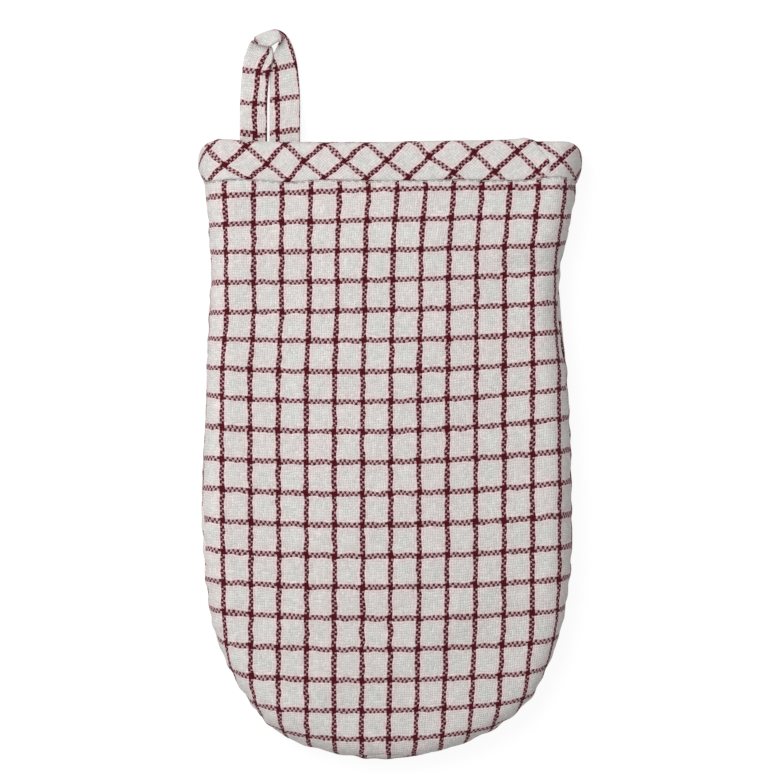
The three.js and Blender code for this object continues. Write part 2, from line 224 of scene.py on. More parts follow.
def hollow_at(x, y):
    depth = np.zeros_like(x)
    for at_x, at_y, reach_x, reach_y, deep in HOLLOWS:
        depth += deep * np.exp(-(((x - at_x) / reach_x) ** 2) - ((y - at_y) / reach_y) ** 2)
    return depth


def seam_turn(side, t):
    """Angle of the side seam above the widest level."""
    climbs = SEAM_RIGHT if side > 0 else SEAM_LEFT
    return np.radians(sum(climb * np.exp(-(((t - row) / reach) ** 2)) for climb, row, reach in climbs))


def drop_at(y):
    """How much lower a row at height y runs over the side seams."""
    binding_drop = FLAP_DROP + (MOUTH_DROP - FLAP_DROP) * (y - FLAP) / (MOUTH - FLAP)
    return np.where(y > FLAP, binding_drop, FLAP_DROP * np.clip(1 - (FLAP - y) / DROP_FADE, 0, 1))


def half_skin(side, n, t, depth, back):
    """Points, outward directions and places on the flat front or back cloth, for one half of the mitt."""
    edge, inward, middle = outline(side, t), inward_at(side, t), middle_at(t)
    out = np.clip(np.where(n < 2, n, 4 - n), 0, 1)
    flat = middle + (edge + inward * TURN - middle) * out[..., None]
    turn = np.clip(2 - n, -1, 1) * RIGHT_ANGLE
    across, up = np.cos(turn), np.sin(turn)
    xy = flat - inward * ((TURN - depth) * across)[..., None]
    rise = np.where(turn > 0, FACE_HEIGHT - SIDE_LEVEL, SIDE_LEVEL) - depth
    crown = CROWN * (1 - (xy[..., 1] / CROWN_LENGTH) ** 2) * (1 - out**2) ** 2 * (n < 1)
    z = SIDE_LEVEL + rise * up + crown - np.maximum(up, 0) ** 2 * hollow_at(xy[..., 0], xy[..., 1])
    y = xy[..., 1] - drop_at(edge[..., 1]) * (1 - np.abs(up)) ** CORNER
    point = np.stack([xy[..., 0], y, z], -1)
    outward = np.concatenate([-inward * across[..., None], up[..., None]], -1)
    length = np.interp(turn, angles, turn_length)
    taken = length if back else FACE_TURN + BACK_TURN - length
    return point, outward, flat - inward * taken[..., None]


def skin(n, t, depth=0.0, back=False):
    """Points, outward directions and flat cloth places for signed places n and rows t."""
    n, t, depth = np.broadcast_arrays(np.asarray(n, float), np.asarray(t, float), np.asarray(depth, float))
    left = half_skin(-1, np.abs(n), t, depth, back)
    right = half_skin(1, np.abs(n), t, depth, back)
    return [np.where((n < 0)[..., None], a, b) for a, b in zip(left, right)]


row_list = np.linspace(0, LAST - 1, 4001)
height_list = outline(1, row_list)[:, 1]


def row_at(y):
    """Row of the outline at height y, above the rounded end."""
    return np.interp(-np.asarray(y, float), -height_list, row_list)


print("widest point on the left at row 9:", skin(-2, 9)[0].round(1))

# %% [markdown]
# ## From points to a mesh
#
# Each cloth surface is a grid of points. `Cloth` gathers grids into one mesh and gives each corner its
# place on the flat cloth, counted in yarns, as a UV map. Grids that share an edge are welded. A modifier
# could thicken a single sheet instead, but a padded panel has a different shape inside, so both sides are
# made.

# %% Mesh helpers
WELD = 1e-6  # metres


class Cloth:
    """Gathers grids of points, with their yarn counts and material numbers, into one mesh."""

    def __init__(self):
        self.points, self.yarns, self.faces, self.slots = [], [], [], []

    def grid(self, points, yarns, slot=0):
        """Adds a grid. Its faces point up where columns run to +X and rows to -Y. Yarn counts may be those
        of one row, for all of them."""
        rows, columns = points.shape[:2]
        first = sum(len(block) for block in self.points)
        index = first + np.arange(rows * columns).reshape(rows, columns)
        corners = [index[:-1, :-1], index[1:, :-1], index[1:, 1:], index[:-1, 1:]]
        faces = np.stack(corners, -1).reshape(-1, 4)
        self.points.append(points.reshape(-1, 3))
        self.yarns.append(np.broadcast_to(yarns, (rows, columns, 2)).reshape(-1, 2))
        self.faces.append(faces)
        self.slots.append(np.full(len(faces), slot))

    def build(self, name, materials):
        mesh = bpy.data.meshes.new(name)
        mesh.from_pydata(np.concatenate(self.points) * MM, [], np.concatenate(self.faces), shade_flat=False)
        corner_vertex = np.empty(len(mesh.loops), np.int32)
        mesh.loops.foreach_get("vertex_index", corner_vertex)
        layer = mesh.uv_layers.new(name="cloth")
        layer.uv.foreach_set("vector", np.concatenate(self.yarns)[corner_vertex].astype(np.float32).ravel())
        mesh.polygons.foreach_set("material_index", np.concatenate(self.slots).astype(np.int32))
        for material in materials:
            mesh.materials.append(material)
        shape = bmesh.new()
        shape.from_mesh(mesh)
        bmesh.ops.remove_doubles(shape, verts=shape.verts, dist=WELD)
        open_edges = sum(not edge.is_manifold for edge in shape.edges)
        shape.to_mesh(mesh)
        shape.free()
        piece = bpy.data.objects.new(name, mesh)
        bpy.context.collection.objects.link(piece)
        print(f"{name}: {len(mesh.polygons)} faces, {open_edges} open edges")
        return piece


print(f"points closer than {WELD / MM:.3f} mm are welded")

# %% [markdown]
# ## Softness
#
# Sewn cloth is never a clean formula. It has slow swells from its padding, and short puckers beside each
# seam where the thread draws it in. Blender's noise textures could displace it, but a handful of sine
# waves with fixed random phases is easier to aim: waves along the seam fade out with distance from it.

# %% Swells and puckers
def waves(seed, count, shortest, longest):
    """A fixed random set of waves: their lengths, directions and phases."""
    dice = np.random.default_rng(seed)
    ranges = ((shortest, longest), (0, math.pi), (0, math.tau))
    return [dice.uniform(low, high, count) for low, high in ranges]


def swell(x, y, wave_set):
    """Slow swells over a surface, between about -1 and 1."""
    total = np.zeros_like(x)
    for length, direction, phase in zip(*wave_set):
        total += np.sin(math.tau * (x * math.cos(direction) + y * math.sin(direction)) / length + phase)
    return total / math.sqrt(len(wave_set[0]))


def pucker(along, wave_set):
    """Short waves along a seam, between about -1 and 1."""
    total = np.zeros_like(along)
    for length, _, phase in zip(*wave_set):
        total += np.sin(math.tau * along / length + phase)
    return total / math.sqrt(len(wave_set[0]))


print("sample swell:", round(float(swell(np.array(3.0), np.array(5.0), waves(1, 8, 25, 70))), 3))

# %% [markdown]
# ## Arithmetic on shader sockets
#
# A weave is a formula, and a formula is hard to read as a pile of nodes. `Wire` stands for one output
# socket and takes part in ordinary Python arithmetic, so `1 - a * b` adds the Math nodes that work it
# out. Every other node comes from its one method `node`: the node's type, its settings, then what goes
# into its sockets. The method `fill` does the last of these alone, for the shader that is already there.

# %% A socket that takes part in arithmetic
class Wire:
    """An output socket of a material's nodes."""

    def __init__(self, tree, socket=None):
        self.tree, self.socket = tree, socket

    def node(self, kind, settings=(), inputs=(), output=0):
        """Adds a node, sets it, fills its inputs, and returns one of its outputs."""
        made = self.tree.nodes.new(kind)
        for name, value in dict(settings).items():
            setattr(made, name, value)
        self.fill(made, inputs)
        return Wire(self.tree, made.outputs[output])

    def fill(self, node, inputs):
        """Joins wires to inputs of a node, and sets plain values on others."""
        for name, value in dict(inputs).items():
            if isinstance(value, Wire):
                self.tree.links.new(value.socket, node.inputs[name])
            else:
                node.inputs[name].default_value = value

    def math(self, operation, *values):
        return self.node("ShaderNodeMath", {"operation": operation}, enumerate(values))

    def __add__(self, other):
        return self.math("ADD", self, other)

    def __sub__(self, other):
        return self.math("SUBTRACT", self, other)

    def __rsub__(self, other):
        return self.math("SUBTRACT", other, self)

    def __mul__(self, other):
        return self.math("MULTIPLY", self, other)

    def __mod__(self, other):
        return self.math("FLOORED_MODULO", self, other)

    def __lt__(self, other):
        return self.math("LESS_THAN", self, other)

    __radd__ = __add__
    __rmul__ = __mul__

    def floor(self):
        return self.math("FLOOR", self)

    def sine(self):
        return self.math("SINE", self)

    def between(self, low, high):
        """0 at low, 1 at high, and a smooth step between them."""
        ends = {"Value": self, "From Min": low, "From Max": high}
        return self.node("ShaderNodeMapRange", {"interpolation_type": "SMOOTHSTEP"}, ends)

    def pick(self, no, yes):
        """A number: `no` where this wire is 0 and `yes` where it is 1."""
        return no + (yes - no) * self

    def blend(self, no, yes):
        """A colour: `no` where this wire is 0 and `yes` where it is 1."""
        return self.node("ShaderNodeMix", {"data_type": "RGBA"}, {0: self, 6: no, 7: yes}, 2)

    def shade(self, colour):
        """The colour, made brighter or darker by this wire."""
        start = colour if isinstance(colour, Wire) else colour[:3]
        return self.node("ShaderNodeVectorMath", {"operation": "SCALE"}, {0: start, "Scale": self})

    def vector(self, x, y):
        """One wire out of two numbers, to say where a texture is looked up."""
        return self.node("ShaderNodeCombineXYZ", (), {0: x, 1: y})

    def parts(self):
        """The first two numbers of a vector or a colour."""
        apart = self.node("ShaderNodeSeparateXYZ", (), {0: self})
        others = apart.socket.node.outputs
        return apart, Wire(self.tree, others[1])

    def noise(self, x, y, scale, detail=2.0, output=0):
        """Cloudy noise over places x, y: a number round 0.5, or a colour from output 1."""
        inputs = {"Vector": self.vector(x, y), "Scale": scale, "Detail": detail}
        return self.node("ShaderNodeTexNoise", {"noise_dimensions": "2D"}, inputs, output)

    def bump(self, distance, strength=1.0):
        """Which way the surface faces where this wire is its height."""
        inputs = {"Strength": strength, "Distance": distance, "Height": self}
        return self.node("ShaderNodeBump", (), inputs)


print("what a wire can do:", [name for name in vars(Wire) if name[0] != "_"])

# %% Colours and new materials
def paint(red, green, blue):
    """A colour as picked on screen, 0 to 255, turned into the linear light that shaders use."""
    shares = np.array([red, green, blue]) / 255
    linear = np.where(shares > 0.04045, ((shares + 0.055) / 1.055) ** 2.4, shares / 12.92)
    return (*map(float, linear), 1.0)


def new_material(name):
    """A material with only a Principled shader, that shader, and a wire to build its nodes from."""
    material = bpy.data.materials.new(name)
    material.use_nodes = True
    return material, material.node_tree.nodes["Principled BSDF"], Wire(material.node_tree)


print("white on screen is", paint(255, 255, 255))

# %% [markdown]
# ## The checked cotton
#
# In a plain weave each yarn goes over one and under the next. The UV map counts yarns, so whole numbers
# part one yarn from its neighbour. Two waves tell how high the warp and the weft yarn stand at a place,
# and the higher one shows. Its colour is painted darker where it dives low, as shade between the yarns.
# Yarns 0 and 1 of every 12 are dyed, in both directions. That alone gives the dotted lines and the solid
# dark crossings of the real check, with nothing drawn. An image of the cloth would blur close up.

# %% Yarns and their colours
CHECK_YARNS = 12  # yarns from one check line to the next
DYED_YARNS = 2
WARP_YARN = 0.94  # millimetres from yarn to yarn
WEFT_YARN = 1.013
DYED_WIDTH = 0.07  # how far the dyed yarns push their neighbours aside, in yarns
WANDER = 1.4  # how far the yarns stray from their straight places, in yarns
DYED_BULK = 0.5  # how much higher a dyed warp yarn stands, because it is thicker
LIFT = 0.5  # how far a yarn rises where it passes over the others
ROUNDNESS = 0.45  # how much lower its sides are than its middle
UNEVENNESS = 0.3  # how much its thickness varies
RELIEF = 0.2 * MM  # depth between the yarns
HALO_FADE = (0.8, 3.4)  # yarns from the middle of a line between which its halo fades out

UNDYED_COOL = paint(207, 207, 204)
UNDYED_WARM = paint(211, 206, 203)
HALO = paint(219, 196, 196)  # undyed yarn beside a line, where a little of the dye has bled
OVER_WARP = paint(172, 130, 135)  # undyed yarn that passes over a dyed warp yarn
OVER_WEFT = paint(190, 154, 158)
DYED_WARP = paint(66, 20, 27)
DYED_WEFT = paint(74, 36, 40)
CROSSED = paint(75, 8, 22)  # dyed yarns where two lines cross
print(f"one check is {CHECK_YARNS * WARP_YARN:.1f} mm wide and {CHECK_YARNS * WEFT_YARN:.1f} mm high")

# %% The weave as a formula
def beside_wide_yarns(place):
    """A yarn count that runs slower over the dyed yarns, which are wider than the others."""
    return place - ((place - DYED_YARNS / 2) * (math.tau / CHECK_YARNS)).sine() * DYED_WIDTH


def yarn_height(lift, across, thickness):
    """Height of a yarn, from its rise over the others, the place across it and its thickness."""
    off_middle = across * 2 - 1
    return lift * LIFT - off_middle * off_middle * ROUNDNESS + thickness * UNEVENNESS


def plain_weave(wire, dyed_bulk=0.0):
    """Wires for whether the warp shows, its height and tone, which yarns are dyed, and the place."""
    u, v = wire.node("ShaderNodeUVMap", {"uv_map": "cloth"}).parts()
    wander_u, wander_v = wire.noise(u, v, 0.22, 1.0, output=1).parts()
    u, v = (beside_wide_yarns(a + (b - 0.5) * WANDER) for a, b in ((u, wander_u), (v, wander_v)))
    i, j = u.floor(), v.floor()
    dyed_warp = (i % CHECK_YARNS) < DYED_YARNS - 0.5
    dyed_weft = (j % CHECK_YARNS) < DYED_YARNS - 0.5
    thick_warp = wire.noise(i * 5.3, v * 0.3, 1.0)
    thick_weft = wire.noise(u * 0.3, j * 5.3 + 70, 1.0)
    warp_lift = ((i % 2) * 2 - 1) * (v * math.pi).sine()
    weft_lift = (1 - (j % 2) * 2) * (u * math.pi).sine()
    warp_high = yarn_height(warp_lift, u - i, thick_warp) + dyed_warp * dyed_bulk
    weft_high = yarn_height(weft_lift, v - j, thick_weft)
    warp_shows = weft_high < warp_high
    height = warp_high.math("MAXIMUM", warp_high, weft_high)
    tone = warp_shows.pick(thick_weft, thick_warp)
    return warp_shows, height, tone, (dyed_warp, dyed_weft), (u, v)


def off_line(place):
    """Distance in yarns from the middle of the nearest check line."""
    half = CHECK_YARNS / 2
    apart = (place + (half - DYED_YARNS / 2)) % CHECK_YARNS - half
    return apart.math("ABSOLUTE", apart)


# %% Checked cotton
def checked_cotton(name):
    material, shader, wire = new_material(name)
    warp_shows, height, tone, (dyed_warp, dyed_weft), (u, v) = plain_weave(wire, DYED_BULK)
    dyed = warp_shows.pick(dyed_weft, dyed_warp)
    dye_below = warp_shows.pick(dyed_warp, dyed_weft)

    beside_warp = 1 - off_line(u).between(*HALO_FADE)
    beside_weft = (1 - off_line(v).between(*HALO_FADE)) * 0.7
    halo = beside_warp.math("MAXIMUM", beside_warp, beside_weft) * 0.9
    patches = wire.noise(u, v, 0.05).between(0.3, 0.7)
    undyed = halo.blend(patches.blend(UNDYED_COOL, UNDYED_WARM), HALO)
    undyed = dye_below.blend(undyed, warp_shows.blend(OVER_WARP, OVER_WEFT))
    dye = (dyed_warp * dyed_weft).blend(warp_shows.blend(DYED_WEFT, DYED_WARP), CROSSED)
    # Painted shade: each yarn's colour is darker where it dives low between the others and lighter on its
    # crown. The tone part is the yarn's own random thickness.
    painted_light_by_height = height.between(-0.25, 0.35)
    light = painted_light_by_height * 0.18 + tone * 0.5 + 0.6
    dye_painted_light_and_tone = painted_light_by_height * 0.5 + tone * 0.7 + 0.25
    colour = dyed.blend(light.shade(undyed), dye_painted_light_and_tone.shade(dye))

    fibre = wire.noise(u, v, 3.0, 3.0)
    wire.fill(shader, {"Base Color": colour, "Normal": (height + fibre * 0.25).bump(RELIEF)})
    wire.fill(shader, {"Roughness": 0.82 + fibre * 0.14})
    wire.fill(shader, {"Specular IOR Level": 0.1, "Sheen Weight": 0.06, "Sheen Roughness": 0.5})
    print(f"{name}: {len(wire.tree.nodes)} nodes")
    return material


panel_cotton = checked_cotton("checked cotton of the panels")
bias_cotton = checked_cotton("checked cotton on the bias")
tape_cotton = checked_cotton("checked cotton of the loop")

# %% [markdown]
# The inside of the pocket is the same weave without the dye, and the sewing thread is a twisted cotton.
# Both show little in the picture, but a bare colour there would look like plastic close by.

# %% Undyed cotton and thread
def undyed_cotton(name):
    material, shader, wire = new_material(name)
    _, height, tone, _, _ = plain_weave(wire)
    # Painted shade: the colour is darker where a yarn dives low between the others, and it also varies with
    # the yarn's own thickness.
    light = height.between(-0.25, 0.35) * 0.25 + tone * 0.3 + 0.6
    wire.fill(shader, {"Base Color": light.shade(UNDYED_WARM), "Normal": height.bump(RELIEF)})
    wire.fill(shader, {"Roughness": 0.9, "Sheen Weight": 0.12})
    return material


def cotton_thread(name):
    material, shader, wire = new_material(name)
    u, v = wire.node("ShaderNodeUVMap", {"uv_map": "cloth"}).parts()
    ply = ((u + v) * math.tau).sine()
    # Painted shade: the thread's colour is darker in the grooves of its twist, on top of the bump.
    colour = (ply * 0.06 + 0.95).shade(UNDYED_WARM)
    wire.fill(shader, {"Base Color": colour, "Normal": ply.bump(RELIEF / 2, 0.8), "Roughness": 0.7})
    return material


inside_cotton = undyed_cotton("undyed cotton inside")
thread = cotton_thread("cotton thread")
print("materials so far:", [material.name for material in (panel_cotton, inside_cotton, thread)])

# %% [markdown]
# ## How the check lies on the panels
#
# The cloth was a little stretched and skewed when it was sewn, so its check lines wander. The places
# where lines cross were measured on the picture, as real sizes. Short tables hold them, and everything
# between is worked out. Places are those of the flat cloth, so a line that runs off the face goes on down
# the side.

# %% Yarn counts on the front panel
UPRIGHTS = (  # height, place of the middle upright line, its spacing to the left and to the right
    (80, 2.90, 11.46, 11.28),
    (56, 1.22, 11.13, 11.12),
    (31.6, 0.98, 11.04, 11.16),
    (8, 0.46, 11.24, 11.32),
    (-4, 0.30, 11.24, 11.3),
    (-40, 0.22, 11.2, 11.32),
    (-65.2, 0.30, 11.16, 11.3),
    (-90, 0.06, 11.1, 11.34),
    (-115.2, -0.10, 11.12, 11.04),
    (-139.2, -0.62, 10.84, 10.8),
)
LEVEL_X = (-61.6, 0.4, 56.8)  # where the heights of the level lines were read
LEVELS = (
    (77.6, 80, 80.8),
    (66.2, 68, 69),
    (55, 55.8, 57.5),
    (42.9, 43.9, 46.2),
    (31.1, 32, 34.2),
    (20.2, 19.9, 22.4),
    (8.4, 7.5, 10.6),
    (-3.1, -4.5, -0.9),
    (-15.2, -16.4, -12.7),
    (-27.8, -28.7, -25.6),
    (-39.9, -41.3, -38.2),
    (-52.6, -53.8, -51.2),
    (-64.6, -66.3, -63.8),
    (-77, -78.6, -76.4),
    (-89, -91.1, -89),
    (-101.8, -103.5, -101),
    (-113.9, -115.8, -113),
    (-126.3, -127.9, -124),
    (-136.9, -139.2, -134.9),
)
UPRIGHTS_LEFT = 6  # upright lines left of the middle one
END_SLACK = 1.0  # the cloth is a little stretched where it rolls over the rounded end
SIDE_SLIP = 1.8  # yarns by which the cloth slipped to the left where it turns down to the sides
SLIP_REACH = (67, 80)  # distances from the middle between which that slip comes in
SIDES_BLEND = 6.0  # distance over which the left spacing changes into the right one, either way


def front_yarns(place):
    """Yarn counts for places on the flat cloth of the front panel."""
    x, y = place[..., 0], place[..., 1]
    heights, middle, left_step, right_step = np.array(UPRIGHTS)[::-1].T
    offset = x - np.interp(y, heights, middle)
    side = ease(offset, -SIDES_BLEND, SIDES_BLEND)
    step = np.interp(y, heights, left_step) * (1 - side) + np.interp(y, heights, right_step) * side
    slip = SIDE_SLIP * ease(np.abs(offset), *SLIP_REACH)
    u = CHECK_YARNS * (UPRIGHTS_LEFT + offset / step) + DYED_YARNS / 2 + slip

    pitch = CHECK_YARNS * WEFT_YARN
    levels = np.array(LEVELS)
    ends = np.arange(1, 4)[:, None] * pitch
    levels = np.concatenate([levels[:1] + ends[::-1], levels, levels[-1:] - ends - END_SLACK])
    numbers = np.arange(len(levels))
    bend = np.polyfit(LEVEL_X, levels.T, 2)
    line_heights = bend[0] * (x * x)[..., None] + bend[1] * x[..., None] + bend[2]
    rising = line_heights.reshape(-1, len(levels))[:, ::-1]
    line = [np.interp(height, heights, numbers) for height, heights in zip(y.ravel(), rising)]
    v = CHECK_YARNS * np.reshape(line, y.shape) + DYED_YARNS / 2
    return np.stack([u, v], -1)


def even_yarns(place):
    """Yarn counts for a cloth that lies straight, as on the back."""
    return np.stack([place[..., 0] / WARP_YARN + 1, place[..., 1] / WEFT_YARN + 10], -1)


print("yarns at the middle of the face:", front_yarns(np.array([[0.0, 0.0]])).round(1))

# %% [markdown]
# ## The two padded panels
#
# Each panel is outer cloth, padding and inner cloth, sewn as one. Its outer skin turns over the edge and
# rolls in at the side seam, where the thread pulls it into a groove. Under the binding it is pressed
# flat. Its inner skin lies one thickness deeper.

# %% Sizes of the panels
ROLL = 1.1  # radius with which the cloth rolls into the side seam
GRID = 1.3  # spacing of the points
FACE_CLOTH = 60.0  # rough length of cloth from the middle of the face to its turned edge
FLAT_GIRTH = 65.5  # half width of the flat face along the mouth
SWELL = 0.16  # how far the padding swells
SEAM_PUCKER = 0.3  # how deep the puckers beside the side seam are
SEAM_FADE = 6.0  # distance from the seam over which they fade out
GATHER = 0.14  # the same for the puckers below the binding
GATHER_FADE = 5.0
COVER = (-0.5, 2.2)  # the panel sinks under the binding between these heights above its lower edge
FLAP_EDGE = (  # place x, height of the binding's lower edge on the face
    (-74, 83.1),
    (-64, 84),
    (-54, 83.7),
    (-41, 82.8),
    (-28, 83.8),
    (-8, 83.5),
    (12, 83.5),
    (27, 84),
    (42, 83.6),
    (54, 83.7),
    (61, 84.6),
    (68, 85.1),
    (74, 85),
)


def flap_edge(x):
    xs, ys = np.array(FLAP_EDGE).T
    return through(ys, np.interp(x, xs, np.arange(len(xs))))


print("the binding's lower edge in the middle:", flap_edge(np.array(0.0)).round(1))

# %% Grid of a panel
def even_rows():
    """Outline rows about one grid step apart, from the mouth edge of the panels to the end."""
    t = np.linspace(float(row_at(PANEL_TOP)), LAST, 4001)
    length = length_along(outline(-1, t))
    count = round(length[-1] / GRID)
    places = np.linspace(0, length[-1], count + 1)
    return np.interp(places, length, t), places - length[-1]


def panel_grid(front, t, along):
    """Signed places, rows, distance to the seam and signed length along it for a panel's grid."""
    turned = 1 + np.sin(np.linspace(0, RIGHT_ANGLE, 19))[1:]
    half = np.concatenate([np.linspace(0, 1, round(FLAT_GIRTH / GRID) + 1), turned])
    c = np.concatenate([-half[:0:-1], half])[None, :]
    side = np.where(c < 0, -1, 1)
    rows = np.broadcast_to(t[:, None], (len(t), c.shape[1]))
    climb = np.where(c < 0, seam_turn(-1, rows), seam_turn(1, rows)) / RIGHT_ANGLE
    seam = 2 - SEAM_SHORT + (-climb if front else climb)
    n = np.where(np.abs(c) < 1, np.abs(c), 1 + (np.abs(c) - 1) * (seam - 1))
    turn_cloth = FACE_TURN if front else BACK_TURN
    to_seam = np.where(np.abs(c) < 1, turn_cloth + (1 - np.abs(c)) * FACE_CLOTH, turn_cloth * (2 - np.abs(c)))
    n = n if front else 4 - n
    return side * n, rows, to_seam, side * along[:, None]


print(len(even_rows()[0]), "rows from the mouth to the end")

# %% Panels
def make_panel(name, front, yarns_at, seed):
    t, along = even_rows()
    n, rows, to_seam, along = panel_grid(front, t, along)
    roll = np.where(to_seam < ROLL, ROLL - np.sqrt(np.maximum(ROLL**2 - (ROLL - to_seam) ** 2, 0)), 0)
    back = not front
    plain, _, place = skin(n, rows, 0.0, back)
    edge = flap_edge(plain[..., 0]) if front else FLAP
    covered = (BINDING + BINDING_GAP) * ease(place[..., 1] - edge, *COVER)
    point, outward, place = skin(n, rows, roll + covered, back)
    soft = SWELL * swell(place[..., 0], place[..., 1], waves(seed, 9, 22, 60))
    drawn = SEAM_PUCKER * np.exp(-to_seam / SEAM_FADE) * pucker(along, waves(seed + 1, 6, 7, 17))
    below = np.clip(edge - place[..., 1], 0, None)
    gathered = GATHER * np.exp(-below / GATHER_FADE) * pucker(place[..., 0], waves(seed + 2, 6, 6, 15))
    open_cloth = ease(to_seam, 0, 2)
    free = np.clip(3 - np.abs(n), 0, 1) if back else 1  # the back lies flat where it rests
    outer = point + outward * (((soft + gathered) * open_cloth + drawn) * free)[..., None]
    inner, _, inner_place = skin(n, rows, PANEL, back)
    cloth = Cloth()
    yarns, inner_yarns = yarns_at(place), even_yarns(inner_place)
    face, under = (inner, outer) if back else (outer, inner)
    face_yarns, under_yarns = (inner_yarns, yarns) if back else (yarns, inner_yarns)
    cloth.grid(face, face_yarns, int(back))
    cloth.grid(under[::-1], under_yarns[::-1], int(front))
    cloth.grid(np.stack([under[0], face[0]]), np.stack([under_yarns[0], face_yarns[0]]))
    cloth.grid(np.stack([face[:, 0], under[:, 0]]), yarns[:, 0])
    cloth.grid(np.stack([under[:, -1], face[:, -1]]), yarns[:, -1])
    return cloth.build(name, [panel_cotton, inside_cotton])


front_cloth = make_panel("front_panel_cloth", True, front_yarns, 11)
back_cloth = make_panel("back_panel_cloth", False, even_yarns, 21)

# %% [markdown]
# ## The bias binding
#
# A strip cut at 45 degrees bends round a curve without creasing. It is sewn face down along the mouth,
# turned over the edge and sewn down inside. It goes once round and its ends meet in a slanted join near
# the right end of the face, where the check doesn't match. The strip is a grid too: once round the mitt,
# and once round its own section. Its columns lean with the join near it, so the join is a clean line in
# the mesh.

# %% Sizes of the binding
GIRTH = 4 * FLAT_GIRTH + 2 * (FACE_TURN + BACK_TURN)
DEPTH = MOUTH - FLAP  # of the binding, from its lower edge to the fold over the mouth
FOLD = 2.6  # height of the rounded fold
JOIN = 61.0  # place round the mitt where the strip's two ends meet
JOIN_REACH = 14.0  # its columns lean with the join as far as this
JOIN_LINE = (  # height above the lower edge, place of the join
    (0, 63.8),
    (3.6, 63.5),
    (7.2, 62.8),
    (11.2, 60.2),
    (15.2, 57.2),
    (18, 56.6),
)
JOIN_BULGE = (0.5, 0.3)  # how far the cloth stands up left and right of the join
BULGE_REACH = 5.0
JOIN_NICK = 0.55  # how deep the nick is in which the ends meet
NICK_REACH = 0.7
NICK_BOTTOM = -0.1
STRIP_SWELL = 0.13
STRIP_PUCKER = 0.12  # depth of the puckers along the strip's lower edge
STRIP_FADE = 4.0
COLUMN = 1.2  # spacing of the strip's columns
CLOSE_COLUMN = 0.3  # and beside the join
CLOSE_REACH = 3.0
TOP_EDGE = (  # place x, how far the binding's top edge stands above its usual height
    (-73, 0.2),
    (-68.5, 0.9),
    (-63, 0.6),
    (-58, 0.2),
    (-50, -0.3),
    (-20, -0.7),
    (0, -0.5),
    (8, -0.1),
    (24, 0.1),
    (44, 0.4),
    (50, 0.8),
    (52.4, 1.4),
    (56, 0.5),
    (57.5, -0.2),
    (72, -0.2),
)


def binding_section():
    """Section of the strip: height above its lower edge, depth under the mitt's skin, and length of cloth."""
    inside = PANEL + BINDING_GAP + BINDING_INSIDE
    half = (inside + PROUD) / 2
    bend = np.linspace(-RIGHT_ANGLE, RIGHT_ANGLE, 17)
    lip = np.array([[0.0, 0.25], [0.12, -0.12], [0.4, -0.36], [0.8, -0.48]])
    up = np.linspace(1.4, DEPTH - FOLD, 11)[:-1]
    outside = np.stack([up, up * 0 - PROUD], -1)
    fold = np.stack([DEPTH - FOLD + FOLD * np.cos(bend), inside - half + half * np.sin(bend)], -1)
    down = np.linspace(DEPTH - FOLD, 2.8, 9)[1:]
    inner = np.stack([down, down * 0 + inside], -1)
    inner_lip = np.array([[2.45, inside - 0.15], [2.35, inside - 0.5], [2.5, inside - 0.95]])
    over = DEPTH - 1.3
    under = [[8.0, PANEL + BINDING_GAP], [over, PANEL + BINDING_GAP], [over, BINDING], [8.0, BINDING]]
    back = np.array([*under, [2.0, BINDING], [0.6, 0.8], [0.0, 0.25]])
    points = np.concatenate([lip, outside, fold, inner, inner_lip, back])
    length = length_along(points)
    return points[:, 0], points[:, 1], length - length[len(lip)] + up[0]


def signed_place(girth):
    """Signed place round the mitt for a length round it from the middle of the face."""
    ends = np.cumsum([0, FLAT_GIRTH, FACE_TURN, BACK_TURN, FLAT_GIRTH])
    return np.sign(girth) * np.interp(np.abs(girth), ends, [0, 1, 2, 3, 4])


print(f"the strip is {GIRTH:.0f} mm long, and {DEPTH:.1f} mm of it shows")

# %% [markdown]
# The strip was cut on the bias, so its check stands on its corners: a row of crossings along its middle,
# and half crossings near its two edges. Sewing stretched it unevenly, and a straight diagonal pattern
# would miss the real crossings by some millimetres. So the places of all three rows are read from the
# picture, and the yarn counts in between are worked out from the row in the middle and the next row above
# or below.

# %% Yarn counts on the binding
CROSSING_STEP = 16.8  # from crossing to crossing
MIDDLE_ROW = (  # number of the crossing, place x and height; numbers below -1 lie right of the join
    (-12, 68.6, 91.8),
    (-1, -88, 89.6),
    (0, -65.9, 89.6),
    (1, -49.2, 90),
    (2, -34.4, 91.2),
    (3, -18.2, 91.2),
    (4, -1.4, 91.3),
    (5, 15.6, 93.2),
    (6, 33.5, 94.6),
    (7, 50.8, 95.4),
)
OUTER_ROWS = (  # number, place x and height of the crossing above, then of the one below
    (-12.5, 59.2, 99.2, 60.4, 84.8),
    (-11.5, 77, 99, 77.5, 84.5),
    (-0.5, -73.7, 96.6, -75.5, 82.2),
    (0.5, -57.3, 97.4, -56.4, 84.2),
    (1.5, -41.8, 98.6, -40.8, 83.5),
    (2.5, -26, 98.4, -26.4, 84.6),
    (3.5, -9.6, 98.6, -9.6, 84.4),
    (4.5, 8, 101, 7, 84.6),
    (5.5, 25.2, 101.8, 25.2, 86.6),
    (6.5, 42.4, 102.6, 41.8, 87),
    (7.5, 59.6, 103, 58.8, 87.2),
)


def along_row(place, number, at, height):
    """Number and height of a row of crossings at places round the mitt. It runs straight on past its ends."""
    at = np.where(number < -1, at - GIRTH, at)
    past = np.minimum(place - at[0], 0) + np.maximum(place - at[-1], 0)
    return np.interp(place, at, number) + past / CROSSING_STEP, np.interp(place, at, height)


